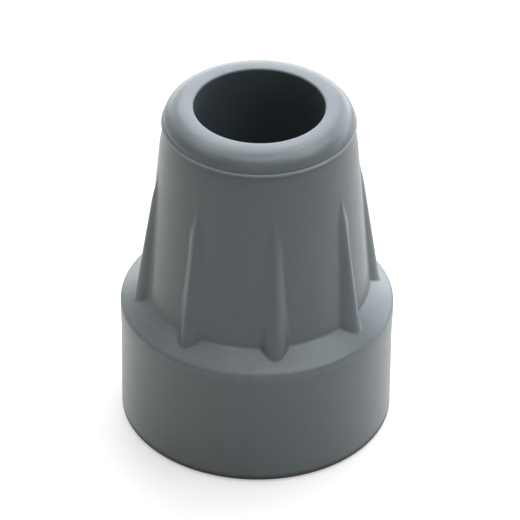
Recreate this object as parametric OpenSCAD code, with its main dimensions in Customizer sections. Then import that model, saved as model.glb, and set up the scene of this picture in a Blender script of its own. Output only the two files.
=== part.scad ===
// Rubber cane tip: a moulded ferrule that is pushed over the end of a cane or crutch tube.
// It is one piece: a flat drum that stands on the ground, a taper with eight ribs that stiffen
// its foot, and a rounded collar with a blind socket for the tube.
// The origin is at the middle of the sole, and +Z runs up the socket.

/* [Tube socket] */
// Outside diameter of the tube that the socket holds
tube_d = 19; // [16:0.5:24]
// Depth of the socket, from the mouth to its floor
socket_depth = 40; // [28:1:44]
// Radius of the corner round the socket's floor
socket_floor_r = 1.5; // [0.5:0.25:3]
// Radius that eases the inner edge of the mouth
mouth_edge_r = 0.3; // [0.1:0.05:0.5]

/* [Collar] */
// Thickness of the rubber round the tube at the collar
collar_wall = 4.3; // [3.5:0.1:6]
// Height of the collar above the parting line
collar_h = 2.65; // [2.6:0.05:5]
// Radius of the collar's rounded shoulder
collar_round_r = 2.5; // [1:0.1:2.6]
// How far the moulding's parting line stands out
parting_out = 0.32; // [0.1:0.02:0.6]
// Height of the thin ridge at the parting line
parting_h = 0.35; // [0.2:0.05:0.8]

/* [Taper] */
// Height of the whole tip
total_h = 53; // [48:1:70]
// Height of the band between the parting line and the taper, on the same cone as the ribs' crests
band_h = 3.6; // [2:0.2:6]
// Diameter of the taper where it meets the drum's shoulder
taper_foot_d = 33; // [31:0.2:35]
// Radius of the fillet between the taper and the shoulder
taper_fillet_r = 0.4; // [0.2:0.1:1]

/* [Ribs] */
// Number of ribs round the taper
rib_count = 8; // [4:1:10]
// Distance from the band's foot down to where the ribs start
rib_start = 2.4; // [2:0.2:8]
// How far a rib's crest stands off the taper at its foot
rib_foot_rise = 1.58; // [1:0.02:1.8]
// Angle between a rib's two flanks
rib_angle = 92; // [80:2:120]
// Radius of a rib's rounded crest
rib_crest_r = 0.7; // [0.3:0.05:1]
// Slope of the run-out at a rib's top
rib_runout_angle = 20; // [15:1:40]

/* [Drum] */
// Diameter of the drum
drum_d = 40; // [38:0.5:50]
// Height of the drum's upper edge
drum_h = 19.3; // [14:0.1:24]
// How far the drum swells out at its rim
rim_swell = 0.13; // [0.05:0.01:0.4]
// Height of the swollen rim
rim_h = 5; // [2:0.5:8]
// Slope of the shoulder from the rim up to the taper
shoulder_angle = 35; // [15:1:45]
// Radius of the rim's upper edge
rim_edge_r = 0.9; // [0.3:0.1:1.5]
// Radius of the sole's outer edge
sole_edge_r = 0.8; // [0.3:0.1:1.5]

/* [Sole] */
// Number of ring grooves in the sole
groove_count = 3; // [1:1:3]
// Distance from one ring groove to the next
groove_pitch = 5; // [4:0.25:6]
// Width of a ring groove
groove_w = 2; // [1:0.25:3]
// Depth of a ring groove
groove_depth = 1.5; // [0.5:0.25:3]

/* [Hidden] */
$fn = 96;

rubber_grey = [0.33, 0.35, 0.35];

// Overlap that lets one solid run into the next
lap = 1;

socket_r = tube_d / 2;
socket_floor_z = total_h - socket_depth;

collar_r = socket_r + collar_wall;
parting_top_z = total_h - collar_h;
parting_z = parting_top_z - parting_h;
parting_r = collar_r + parting_out;

drum_r = drum_d / 2;
rim_r = drum_r + rim_swell;

taper_foot_r = taper_foot_d / 2;
taper_foot_z = drum_h + (rim_r - taper_foot_r) * tan(shoulder_angle);

// A rib's crest is a straight line from the parting line down to the shoulder. The band at the top
// follows it, and below the band the taper is steeper and leaves the crest standing out.
crest_foot_r = taper_foot_r + rib_foot_rise;
crest_slope = (crest_foot_r - collar_r) / (parting_z - taper_foot_z);
crest_tilt = atan(crest_slope);
band_foot_z = parting_z - band_h;
band_foot_r = collar_r + crest_slope * band_h;
taper_slope = (taper_foot_r - band_foot_r) / (band_foot_z - taper_foot_z);
rib_top_z = band_foot_z - rib_start;
rib_top_r = band_foot_r + taper_slope * rib_start;
// The prism of a rib starts below the shoulder's surface
rib_root_z = taper_foot_z - 2 * rib_foot_rise;
rib_root_r = crest_foot_r + crest_slope * (taper_foot_z - rib_root_z);
rib_l = (rib_top_z + lap - rib_root_z) / cos(crest_tilt);
rib_depth = rib_foot_rise + lap;

// The sliver between a corner b and the arc that rounds it, with a and c on the corner's two sides
module corner_sliver(a, b, c, r) {
    to_a = (a - b) / norm(a - b);
    to_c = (c - b) / norm(c - b);
    half_angle = acos(to_a * to_c) / 2;
    reach = r / tan(half_angle);
    middle = (to_a + to_c) / norm(to_a + to_c);
    difference() {
        polygon([b, b + to_a * reach, b + to_c * reach]);
        translate(b + middle * r / sin(half_angle)) circle(r);
    }
}

// Half section of the outside, turned about the socket's axis
module outside_section() {
    sole_middle = [0, 0];
    sole_edge = [drum_r, 0];
    rim_foot = [drum_r, drum_h - rim_h];
    rim_wide = [rim_r, drum_h - rim_h / 3];
    rim_edge = [rim_r, drum_h];
    taper_foot = [taper_foot_r, taper_foot_z];
    band_foot = [band_foot_r, band_foot_z];
    band_top = [collar_r, parting_z];
    collar_edge = [collar_r, total_h];
    mouth_middle = [0, total_h];
    difference() {
        union() {
            polygon([
                sole_middle, sole_edge, rim_foot, rim_wide, rim_edge,
                taper_foot, band_foot, band_top, collar_edge, mouth_middle
            ]);
            corner_sliver(rim_edge, taper_foot, band_foot, taper_fillet_r);
            translate([0, parting_z]) square([parting_r, parting_h]);
        }
        corner_sliver(sole_middle, sole_edge, rim_foot, sole_edge_r);
        corner_sliver(rim_wide, rim_edge, taper_foot, rim_edge_r);
        corner_sliver(band_top, collar_edge, mouth_middle, collar_round_r);
    }
}

// Half section of the socket, with its rounded floor corner and eased mouth
module socket_section() {
    floor_middle = [0, socket_floor_z];
    floor_corner = [socket_r, socket_floor_z];
    mouth_edge = [socket_r, total_h];
    mouth_outside = [collar_r, total_h];
    difference() {
        translate(floor_middle) square([socket_r, socket_depth + lap]);
        corner_sliver(floor_middle, floor_corner, mouth_edge, socket_floor_r);
    }
    corner_sliver(floor_corner, mouth_edge, mouth_outside, mouth_edge_r);
}

// Ring grooves that give the sole its grip
module sole_grooves() {
    for (i = [1:groove_count])
        translate([i * groove_pitch - groove_w / 2, -lap])
            square([groove_w, groove_depth + lap]);
}

// Cross-section of a rib: two flanks that meet in a rounded crest at the origin, with +X outwards
module rib_section() {
    flank = (180 - rib_angle) / 2;
    touch = [rib_crest_r * (cos(flank) - 1), rib_crest_r * sin(flank)];
    half_w = touch[1] + (rib_depth + touch[0]) / tan(flank);
    translate([-rib_crest_r, 0]) circle(rib_crest_r);
    polygon([touch, [-rib_depth, half_w], [-rib_depth, -half_w], [touch[0], -touch[1]]]);
}

// One rib on the +X side: a prism that leans with its crest and runs out at the top
module rib() {
    runout_slope = tan(rib_runout_angle);
    runout_top_z = rib_top_z + lap;
    runout_top_r = rib_top_r - lap * runout_slope;
    intersection() {
        translate([rib_root_r, 0, rib_root_z])
            rotate([0, -crest_tilt, 0]) linear_extrude(rib_l) rib_section();
        cylinder(
            h = runout_top_z,
            r1 = runout_top_r + runout_top_z * runout_slope,
            r2 = runout_top_r
        );
    }
}

module ribs() {
    for (i = [0:rib_count - 1])
        rotate(i * 360 / rib_count) rib();
}

module cane_tip() {
    color(rubber_grey)
        difference() {
            union() {
                rotate_extrude() outside_section();
                ribs();
            }
            rotate_extrude() socket_section();
            rotate_extrude() sole_grooves();
        }
}

cane_tip();
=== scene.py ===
import math

import bpy
from mathutils import Matrix, Vector


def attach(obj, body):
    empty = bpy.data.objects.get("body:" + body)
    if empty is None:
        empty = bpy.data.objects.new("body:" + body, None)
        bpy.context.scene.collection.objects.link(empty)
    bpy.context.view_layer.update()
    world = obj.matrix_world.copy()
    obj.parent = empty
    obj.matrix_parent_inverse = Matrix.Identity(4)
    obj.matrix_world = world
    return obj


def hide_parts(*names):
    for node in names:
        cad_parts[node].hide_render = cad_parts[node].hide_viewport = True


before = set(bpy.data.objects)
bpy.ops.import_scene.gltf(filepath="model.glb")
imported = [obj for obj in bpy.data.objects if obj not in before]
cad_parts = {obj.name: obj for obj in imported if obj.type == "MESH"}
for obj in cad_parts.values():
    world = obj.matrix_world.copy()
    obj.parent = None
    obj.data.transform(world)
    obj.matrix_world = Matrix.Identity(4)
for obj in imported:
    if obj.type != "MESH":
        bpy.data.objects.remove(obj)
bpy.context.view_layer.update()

MM = 0.001

# ---------------------------------------------------------------- sizes, in millimetres
# These are the solid's own sizes.
total_h = 53.0
socket_r = 9.5
mouth_edge_r = 0.3
socket_depth = 40.0
socket_floor_r = 1.5
collar_r = 13.8
parting_r = 14.12
parting_z = 50.0
parting_top_z = 50.35
knee_z = 46.4               # above it the outside follows the ribs' cone, below it the taper
cone_slope = 0.152          # the cone that the band and the ribs' crests lie on
taper_foot_r = 16.5
drum_r = 20.0
rim_r = 20.13
drum_h = 19.3
rim_h = 5.0
shoulder_angle = 35.0
rim_edge_r = 0.9
sole_edge_r = 0.8
groove_count = 3
groove_pitch = 5.0
groove_w = 2.0
groove_depth = 1.5
rib_count = 8
rib_start = 2.4             # from the knee down to where the ribs start

# These shape the soft forms that only the scene has.
collar_round_h = 2.3        # the collar's top is rounded over this height
collar_round_w = 3.4        # and this width
collar_fullness = 2.1       # exponent of that rounding: 2 is an ellipse, above it is fuller
rib_slope = 0.68            # a rib's height over its half width
rib_top_slope = 0.22        # the same at the knee
rib_top_share = 0.55        # the share of the taper's height over which the one becomes the other
rib_runout = 6.0            # the ribs rise to their full crest over this height
rib_least_rise = 0.01       # keeps their height off zero where they run out
rib_fullness = 1.8          # exponent of a rib's section: 1 is a wedge, 2 a parabola
rib_root_blend = 0.4        # width of the rounding where a rib meets the taper
foot_blend = 0.25           # width of the rounding where the taper meets the shoulder
groove_lip_r = 0.25         # radius of the edges of the sole's grooves

taper_foot_z = drum_h + (rim_r - taper_foot_r) * math.tan(math.radians(shoulder_angle))
knee_r = collar_r + (parting_z - knee_z) * cone_slope
taper_slope = (taper_foot_r - knee_r) / (knee_z - taper_foot_z)
socket_floor_z = total_h - socket_depth


# ---------------------------------------------------------------- the outside, as a radius at a height
def smooth_max(a, b, k):
    """The larger of a and b, with the corner between them rounded over a band of k."""
    gap = max(k - abs(a - b), 0.0) / k
    return max(a, b) + gap * gap * k / 4


def share(value):
    """The value, kept between 0 and 1."""
    return min(max(value, 0.0), 1.0)


def cone_r(z):
    return collar_r + (parting_z - z) * cone_slope


def taper_r(z):
    if z > knee_z:
        return cone_r(z)
    return taper_foot_r - (z - taper_foot_z) * taper_slope


def shoulder_r(z):
    return rim_r - (z - drum_h) / math.tan(math.radians(shoulder_angle))


def rib_rise(z):
    """How far a rib's crest stands off the taper. Below the run-out the crest lies on the cone."""
    run = share((knee_z - rib_start - z) / rib_runout)
    return max((cone_r(z) - taper_r(z)) * run * run * (3 - 2 * run), rib_least_rise)


def rib_r(turn, z):
    """Radius of a rib's flank at an angle from its crest, as if there were no taper under it."""
    rise = rib_rise(z)
    crest = taper_r(z) + rise
    down = share((knee_z - z) / (knee_z - taper_foot_z) / rib_top_share)
    half_w = rise / (rib_top_slope + (rib_slope - rib_top_slope) * down)
    return crest - rise * (crest * abs(turn) / half_w) ** rib_fullness


def body_r(turn, z):
    """Radius of the ribbed wall and the shoulder. turn is the angle from the nearest rib's crest."""
    upper = taper_r(z)
    if z < knee_z - rib_start:
        upper = smooth_max(upper, rib_r(turn, z), min(rib_root_blend, rib_rise(z)))
    return smooth_max(upper, shoulder_r(z), foot_blend)


# ---------------------------------------------------------------- rows, from the sole to the socket's floor
def arc(centre, radius, start, end, steps):
    """Points (r, z) on an arc, angles in degrees from outward, up positive."""
    points = []
    for i in range(steps + 1):
        a = math.radians(start + (end - start) * i / steps)
        points.append((centre[0] + radius * math.cos(a), centre[1] + radius * math.sin(a)))
    return points


def spread(low, high, steps):
    return [low + (high - low) * i / steps for i in range(steps + 1)]


def zoned(start, zones):
    """Heights above start, evenly spread inside each zone. A zone is its top and its number of rows."""
    heights = []
    for top, steps in zones:
        heights += spread(start, top, steps)[1:]
        start = top
    return heights


def groove(r):
    """A ring groove in the sole with softened edges."""
    lip = groove_lip_r
    inner = r - groove_w / 2
    outer = r + groove_w / 2
    return (
        arc((inner - lip, lip), lip, -90, 0, 4)
        + arc((inner + lip, groove_depth - lip), lip, 180, 90, 3)
        + arc((outer - lip, groove_depth - lip), lip, 90, 0, 3)
        + arc((outer + lip, lip), lip, 180, 270, 4)
    )


# the radii of the two plain rows on the sole, inside the first groove and outside the last
sole_inner_row = 1.5
sole_outer_row = 17.5
sole = [(sole_inner_row, 0.0)]
for i in range(groove_count):
    sole += groove((i + 1) * groove_pitch)
sole += [(sole_outer_row, 0.0)]
sole += arc((drum_r - sole_edge_r, sole_edge_r), sole_edge_r, -90, 0, 8)

# the drum's side is straight up to the rim, which swells out over its height
drum_rows = (6.0, 10.0, drum_h - rim_h)
drum_side = [(drum_r, z) for z in drum_rows]
drum_side += [
    (drum_r + (rim_r - drum_r) * 0.5, drum_h - rim_h * 0.66),
    (rim_r, drum_h - rim_h * 0.33),
]
edge_reach = rim_edge_r * math.tan(math.radians((90 - shoulder_angle) / 2))
rim_centre = (rim_r - rim_edge_r, drum_h - edge_reach)
rim_edge = arc(rim_centre, rim_edge_r, 0, 90 - shoulder_angle, 8)

wall_zones = (
    (20.3, 3),              # the plain shoulder
    (22.6, 30),             # the ribs' toes and the taper's foot
    (25.0, 6),              # the ribs' feet
    (38.0, 16),             # the ribs at their full crest
    (knee_z, 14),           # the ribs' run-out
)
band_rows = [46.9, 48.0, 49.2]
wall_rows = zoned(rim_edge[-1][1], wall_zones) + band_rows

# half of the parting line's ridge, from its root outward: how far out a point stands, and how far
# it lies from the ridge's lower or upper face towards its middle
ridge_out = parting_r - collar_r
ridge_half = [(0.0, -0.08), (ridge_out * 0.35, -0.02), (ridge_out - 0.05, 0.04), (ridge_out, 0.12)]
ridge = [(collar_r + out, parting_z + rise) for out, rise in ridge_half]
ridge += [(collar_r + out, parting_top_z - rise) for out, rise in reversed(ridge_half)]

collar = [
    (
        collar_r - collar_round_w * (1 - max(r, 0.0) ** (2 / collar_fullness)),
        total_h - collar_round_h * (1 - z ** (2 / collar_fullness)),
    )
    for r, z in arc((0, 0), 1, 0, 90, 28)
]

mouth = arc((socket_r + mouth_edge_r, total_h - mouth_edge_r), mouth_edge_r, 90, 180, 4)
socket_rows = (47.0, 40.0, 30.0, 20.0)
socket_floor_row = 4.0      # the radius of the only row on the socket's flat floor
socket_corner = (socket_r - socket_floor_r, socket_floor_z + socket_floor_r)
socket = [(socket_r, z) for z in socket_rows]
socket += arc(socket_corner, socket_floor_r, 0, -90, 6)
socket += [(socket_floor_row, socket_floor_z)]


# ---------------------------------------------------------------- the moulding's mesh
rib_zone = 11.0             # degrees to each side of a rib's crest that have close columns
rib_columns = 44
gap_columns = 6             # on each side of the zone, up to half way to the next rib
sharp_angle = 40            # an edge that turns by more degrees than this is shaded sharp


def columns():
    """(angle around the axis, angle from the nearest rib's crest), close together on the ribs."""
    half_sector = 180 / rib_count
    sector = (
        spread(-half_sector, -rib_zone, gap_columns)[:-1]
        + spread(-rib_zone, rib_zone, rib_columns)
        + spread(rib_zone, half_sector, gap_columns)[1:-1]
    )
    return [
        (math.radians(i * 360 / rib_count - 90 + turn), math.radians(turn))
        for i in range(rib_count)
        for turn in sector
    ]


def moulding():
    """One closed skin: a pole on the sole, rings of points, and a pole on the socket's floor."""
    turns = columns()
    count = len(turns)
    verts = [(0.0, 0.0, 0.0)]
    rings = 0

    def ring(radius_at, z):
        nonlocal rings
        for angle, turn in turns:
            r = radius_at(turn)
            verts.append((r * math.cos(angle) * MM, r * math.sin(angle) * MM, z * MM))
        rings += 1

    for r, z in sole + drum_side + rim_edge:
        ring(lambda turn: r, z)
    for z in wall_rows:
        ring(lambda turn: body_r(turn, z), z)
    for r, z in ridge + collar + mouth + socket:
        ring(lambda turn: r, z)
    verts.append((0.0, 0.0, socket_floor_z * MM))

    faces = [(0, 1 + (i + 1) % count, 1 + i) for i in range(count)]
    for k in range(rings - 1):
        low = 1 + k * count
        high = low + count
        for i in range(count):
            j = (i + 1) % count
            faces.append((low + i, low + j, high + j, high + i))
    top = 1 + (rings - 1) * count
    pole = len(verts) - 1
    faces += [(pole, top + i, top + (i + 1) % count) for i in range(count)]

    mesh = bpy.data.meshes.new("cane_tip_skin")
    mesh.from_pydata(verts, [], faces)
    mesh.validate()
    mesh.shade_smooth()
    mesh.set_sharp_from_angle(angle=math.radians(sharp_angle))
    piece = bpy.data.objects.new("cane_tip_rubber", mesh)
    bpy.context.scene.collection.objects.link(piece)
    return piece


# ---------------------------------------------------------------- rubber
rubber_dark = (0.1025, 0.124, 0.132, 1)
rubber_pale = (0.119, 0.145, 0.154, 1)
# a pale colour for dust specks, and for painted light on the tops, the edges and the parting line
dust_and_highlight = (0.20, 0.225, 0.235, 1)
# painted shade for the socket's inside
socket_painted_shade = (0.03, 0.034, 0.036, 1)
# painted shade for the band along the sole's edge
sole_edge_painted_shade = (0.022, 0.018, 0.015, 1)

# how much of the colour each layer covers where it is strongest
speck_cover = 0.5
# the next is the painted light in streaks on what faces up
painted_top_light_cover = 0.55
# the next two are the painted highlights on the mouth's edge and the drum's rim
mouth_highlight_cover = 0.5
rim_highlight_cover = 0.35
# the next is the painted highlight on the parting line
parting_highlight_cover = 0.95
# the next is the painted shade in the socket
socket_cover = 0.3
# the next is the painted shade along the sole's edge
sole_edge_shade_cover = 0.9

# roughness of the clean rubber, between these two with its grain; the places of the painted top light, the
# painted edge highlights and the painted sole-edge shade add to that
smooth_rubber = 0.29
coarse_rubber = 0.39
lightened_rough_adds = 0.12
sole_edge_shade_rough_adds = 0.4

bump_strength = 0.3
bump_height = 0.06 * MM

# the patterns' scales, in repeats to the metre
cloud_scale = 90
mottle_scale = 420
streak_scale = 900
pore_scale = 1300
grain_scale = 2500
streak_pace = 0.12          # how fast the streaks change along x, against radius and height


class Patterns:
    """Makes the nodes of one material. Each function gives back the new node's output."""

    def __init__(self, tree):
        self.nodes = tree.nodes
        self.links = tree.links

    def noise(self, vector, scale, detail, rough=0.5):
        node = self.nodes.new("ShaderNodeTexNoise")
        node.inputs["Scale"].default_value = scale
        node.inputs["Detail"].default_value = detail
        node.inputs["Roughness"].default_value = rough
        self.links.new(vector, node.inputs["Vector"])
        return node.outputs["Fac"]

    def maths(self, operation, *values):
        """The operation's result. Each value is a number or another node's output."""
        node = self.nodes.new("ShaderNodeMath")
        node.operation = operation
        for slot, value in zip(node.inputs, values):
            if isinstance(value, bpy.types.NodeSocket):
                self.links.new(value, slot)
            else:
                slot.default_value = value
        return node.outputs[0]

    def plus(self, a, b):
        return self.maths("ADD", a, b)

    def times(self, a, b):
        return self.maths("MULTIPLY", a, b)

    def ranged(self, value, low, high, to_low, to_high):
        """The value, brought from between low and high to between to_low and to_high."""
        node = self.nodes.new("ShaderNodeMapRange")
        self.links.new(value, node.inputs["Value"])
        node.inputs["From Min"].default_value = low
        node.inputs["From Max"].default_value = high
        node.inputs["To Min"].default_value = to_low
        node.inputs["To Max"].default_value = to_high
        return node.outputs["Result"]

    def mask(self, value, none, full, most=1.0):
        """0 where the value is at or beyond none, most where it is at or beyond full."""
        return self.ranged(value, none, full, 0.0, most)

    def covered(self, colour, mask, shade):
        """The colour, going over to the shade where the mask is 1."""
        node = self.nodes.new("ShaderNodeMix")
        node.data_type = "RGBA"
        self.links.new(mask, node.inputs["Factor"])
        self.links.new(colour, node.inputs["A"])
        node.inputs["B"].default_value = shade
        return node.outputs["Result"]

    def parts(self, vector):
        node = self.nodes.new("ShaderNodeSeparateXYZ")
        self.links.new(vector, node.inputs[0])
        return node.outputs

    def ramp(self, value, low, low_colour, high, high_colour):
        node = self.nodes.new("ShaderNodeValToRGB")
        for stop, at, colour in zip(node.color_ramp.elements, (low, high), (low_colour, high_colour)):
            stop.position = at
            stop.color = colour
        self.links.new(value, node.inputs["Fac"])
        return node.outputs["Color"]

    def around(self, x, radius, z):
        """Coordinates for streaks around the axis: quick to change with radius and height, slow along x."""
        node = self.nodes.new("ShaderNodeCombineXYZ")
        for value, slot in zip((radius, z, self.times(x, streak_pace)), node.inputs):
            self.links.new(value, slot)
        return node.outputs[0]


def rubber():
    material = bpy.data.materials.new("moulded_rubber")
    material.use_nodes = True
    tree = material.node_tree
    shader = tree.nodes["Principled BSDF"]
    shader.inputs["Specular IOR Level"].default_value = 0.5
    shader.inputs["IOR"].default_value = 1.5

    make = Patterns(tree)
    coords = tree.nodes.new("ShaderNodeTexCoord")
    place = coords.outputs["Object"]
    x, y, z = make.parts(place)
    radius = make.maths("SQRT", make.plus(make.times(x, x), make.times(y, y)))

    cloud = make.noise(place, cloud_scale, detail=3)
    mottle = make.noise(place, mottle_scale, detail=3, rough=0.6)
    grain = make.noise(place, grain_scale, detail=4, rough=0.6)
    pores = make.noise(place, pore_scale, detail=2)
    streaks = make.noise(make.around(x, radius, z), streak_scale, detail=3, rough=0.6)

    unevenness = make.plus(make.times(cloud, 0.6), make.times(mottle, 0.4))
    colour = make.ramp(unevenness, 0.3, rubber_dark, 0.7, rubber_pale)

    # dust specks, with more of them on what faces up as painted top light, and streaks of painted light on
    # the collar's top and the shoulder
    upward = make.mask(make.parts(coords.outputs["Normal"])[2], 0.3, 0.75)
    speck_and_top_light_places = make.plus(make.times(upward, 0.6), 0.3)
    specks = make.times(make.mask(grain, 0.56, 0.72, speck_cover), speck_and_top_light_places)
    painted_top_light_places = make.times(upward, make.mask(cloud, 0.4, 0.6))
    painted_top_light = make.times(make.mask(streaks, 0.4, 0.68, painted_top_light_cover), painted_top_light_places)
    colour = make.covered(colour, specks, dust_and_highlight)
    colour = make.covered(colour, painted_top_light, dust_and_highlight)

    # painted highlights along the mouth's edge and the drum's rim, broken up by the mottling
    mouth_edge_highlight = make.times(
        make.mask(radius, (socket_r + 0.8) * MM, (socket_r + 0.2) * MM, mouth_highlight_cover),
        make.mask(z, (total_h - 0.5) * MM, (total_h - 0.2) * MM),
    )
    rim_edge_highlight = make.times(
        make.mask(radius, (drum_r - 0.3) * MM, (drum_r + 0.1) * MM, rim_highlight_cover),
        make.mask(z, (drum_h - 1.4) * MM, (drum_h - 0.5) * MM),
    )
    highlight_places = make.ranged(mottle, 0.35, 0.6, 0.3, 1.0)
    edge_highlights = make.times(make.plus(mouth_edge_highlight, rim_edge_highlight), highlight_places)
    colour = make.covered(colour, edge_highlights, dust_and_highlight)

    # painted highlight on the parting line's thin flash, and painted shade in the socket
    parting_middle = (parting_z + parting_top_z) / 2 * MM
    from_parting = make.maths("ABSOLUTE", make.maths("SUBTRACT", z, parting_middle))
    parting_highlight = make.times(
        make.mask(from_parting, 0.3 * MM, 0.15 * MM, parting_highlight_cover),
        make.mask(radius, collar_r * MM, parting_r * MM),
    )
    colour = make.covered(colour, parting_highlight, dust_and_highlight)
    # painted shade: the socket's inside is darker than the rest
    inside = make.times(
        make.mask(radius, (socket_r + 0.15) * MM, socket_r * MM, socket_cover),
        make.mask(z, (socket_floor_z - 0.5) * MM, (socket_floor_z - 0.1) * MM),
    )
    colour = make.covered(colour, inside, socket_painted_shade)

    # painted shade along the sole's edge, a dark band where the drum meets the floor
    painted_sole_edge_shade = make.times(
        make.mask(z, 1.4 * MM, 0.7 * MM, sole_edge_shade_cover),
        make.mask(radius, (drum_r - 1.5) * MM, (drum_r - 1.0) * MM),
    )
    colour = make.covered(colour, painted_sole_edge_shade, sole_edge_painted_shade)
    tree.links.new(colour, shader.inputs["Base Color"])

    clean = make.ranged(grain, 0.3, 0.7, smooth_rubber, coarse_rubber)
    # rougher where the painted top light and the painted edge highlights are
    roughened = make.plus(clean, make.times(make.plus(painted_top_light, edge_highlights), lightened_rough_adds))
    # rougher again under the painted sole-edge shade
    roughness = make.plus(roughened, make.times(painted_sole_edge_shade, sole_edge_shade_rough_adds))
    tree.links.new(roughness, shader.inputs["Roughness"])

    relief = make.plus(make.times(grain, 0.5), make.times(pores, 0.5))
    bump = tree.nodes.new("ShaderNodeBump")
    bump.inputs["Strength"].default_value = bump_strength
    bump.inputs["Distance"].default_value = bump_height
    tree.links.new(relief, bump.inputs["Height"])
    tree.links.new(bump.outputs["Normal"], shader.inputs["Normal"])
    return material


tip = moulding()
tip.data.materials.append(rubber())
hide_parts("cane_tip")
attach(tip, "root")


# ---------------------------------------------------------------- camera, as fitted to the photograph
azimuth = math.radians(-9.3)
elevation = math.radians(35.68)
roll = math.radians(0.687)
distance = 0.7341           # metres from look_at
look_at = Vector((0, 0, 0.025))
photo_px = 520              # the photograph's width and height
focal_px = 5000             # the focal length, and below it the lens shifts, in its pixels
shift_x_px = 2.54
shift_y_px = 3.70


def from_angles(turn, height):
    """Unit vector towards a place at an angle around the object, from its front, and an angle of height."""
    return Vector((
        math.sin(turn) * math.cos(height),
        -math.cos(turn) * math.cos(height),
        math.sin(height),
    ))


back = from_angles(azimuth, elevation)
level = Vector((math.cos(azimuth), math.sin(azimuth), 0))
upright = back.cross(level)
right = level * math.cos(roll) + upright * math.sin(roll)
up = upright * math.cos(roll) - level * math.sin(roll)

lens = bpy.data.cameras.new("photo_camera")
lens.sensor_width = 36
lens.lens = focal_px / photo_px * lens.sensor_width
lens.shift_x = shift_x_px / photo_px
lens.shift_y = shift_y_px / photo_px
lens.clip_start = 0.05
lens.clip_end = 20
camera = bpy.data.objects.new("photo_camera", lens)
bpy.context.scene.collection.objects.link(camera)
camera_turn = Matrix((right, up, back)).transposed().to_4x4()
camera.matrix_world = Matrix.Translation(look_at + back * distance) @ camera_turn
bpy.context.scene.camera = camera


# ---------------------------------------------------------------- floor and background
floor_size = 1.2
floor_gap = 0.05 * MM       # keeps the floor and the sole from lying in the same plane
floor_shade = (0.655, 0.635, 0.605, 1)
floor_lift = 0.5            # a glow that seen rays find and diffuse light doesn't


def seen_rays(nodes, links):
    """1 for rays that come straight from the camera or by way of a reflection or a transmission."""
    path = nodes.new("ShaderNodeLightPath")
    seen = path.outputs["Is Camera Ray"]
    for name in ("Is Glossy Ray", "Is Transmission Ray"):
        either = nodes.new("ShaderNodeMath")
        either.operation = "MAXIMUM"
        links.new(seen, either.inputs[0])
        links.new(path.outputs[name], either.inputs[1])
        seen = either.outputs[0]
    return seen


def floor_material():
    """A matt pale floor, with a glow for seen rays. It is clear from below, so that the sole shows."""
    material = bpy.data.materials.new("pale_floor")
    material.use_nodes = True
    nodes = material.node_tree.nodes
    links = material.node_tree.links
    nodes.clear()

    def mixed(factor, first, second):
        node = nodes.new("ShaderNodeMixShader")
        for value, slot in zip((factor, first, second), node.inputs):
            links.new(value, slot)
        return node.outputs[0]

    matt = nodes.new("ShaderNodeBsdfDiffuse")
    matt.inputs["Color"].default_value = floor_shade
    lift = nodes.new("ShaderNodeEmission")
    lift.inputs["Strength"].default_value = floor_lift
    lifted = nodes.new("ShaderNodeAddShader")
    links.new(matt.outputs[0], lifted.inputs[0])
    links.new(lift.outputs[0], lifted.inputs[1])
    above = mixed(seen_rays(nodes, links), matt.outputs[0], lifted.outputs[0])

    side = nodes.new("ShaderNodeNewGeometry")
    clear = nodes.new("ShaderNodeBsdfTransparent")
    shown = mixed(side.outputs["Backfacing"], above, clear.outputs[0])
    out = nodes.new("ShaderNodeOutputMaterial")
    links.new(shown, out.inputs["Surface"])
    return material


bpy.ops.mesh.primitive_plane_add(size=floor_size, location=(0, 0, -floor_gap))
floor = bpy.context.object
floor.name = "floor"
floor.data.materials.append(floor_material())

# the backdrop is white for seen rays and dark for all others, so that it adds no diffuse light
scene = bpy.context.scene
world = bpy.data.worlds.new("studio")
scene.world = world
world.use_nodes = True
backdrop = world.node_tree.nodes["Background"]
backdrop.inputs["Color"].default_value = (1, 1, 1, 1)
seen = seen_rays(world.node_tree.nodes, world.node_tree.links)
world.node_tree.links.new(seen, backdrop.inputs["Strength"])


# ---------------------------------------------------------------- lamps
lamp_reach = 0.9            # metres from the origin, at which the lamps are aimed
white = (1.0, 1.0, 1.0)
cool = (0.92, 1.0, 1.13)

# name, degrees from the camera to the right, degrees above the floor, (width, height) in metres,
# irradiance that it gives at the object, colour
lamps = (
    ("overhead", 0, 80, (0.6, 0.45), 0.85, white),
    ("behind_low", 180, 8, (1.2, 0.25), 1.36, white),
    ("behind", 180, 35, (0.5, 0.4), 0.98, cool),
    ("behind_high", 180, 60, (0.6, 0.4), 1.12, white),
    ("behind_right", 136, 22, (0.6, 0.5), 1.12, cool),
    ("behind_left", 225, 25, (0.5, 0.5), 0.15, white),
    ("top_right", 110, 60, (0.5, 0.4), 0.82, white),
    ("right_front", 70, 50, (0.4, 0.4), 0.5, cool),
    ("right_low", 112, 8, (0.5, 0.25), 0.42, white),
    ("top_left", 250, 60, (0.5, 0.4), 0.42, white),
    ("front_low", 0, 12, (1.0, 0.3), 0.13, white),
)


def softbox(name, turn, height, size, light, colour):
    """A soft rectangular lamp aimed at the origin."""
    at = from_angles(azimuth + math.radians(turn), math.radians(height)) * lamp_reach
    lamp = bpy.data.lights.new(name, "AREA")
    lamp.shape = "RECTANGLE"
    lamp.size, lamp.size_y = size
    lamp.energy = light * math.pi * lamp_reach * lamp_reach
    lamp.color = colour
    piece = bpy.data.objects.new(name, lamp)
    piece.matrix_world = Matrix.Translation(at) @ at.to_track_quat("Z", "Y").to_matrix().to_4x4()
    scene.collection.objects.link(piece)


for lamp_row in lamps:
    softbox(*lamp_row)

scene.view_settings.view_transform = "Standard"
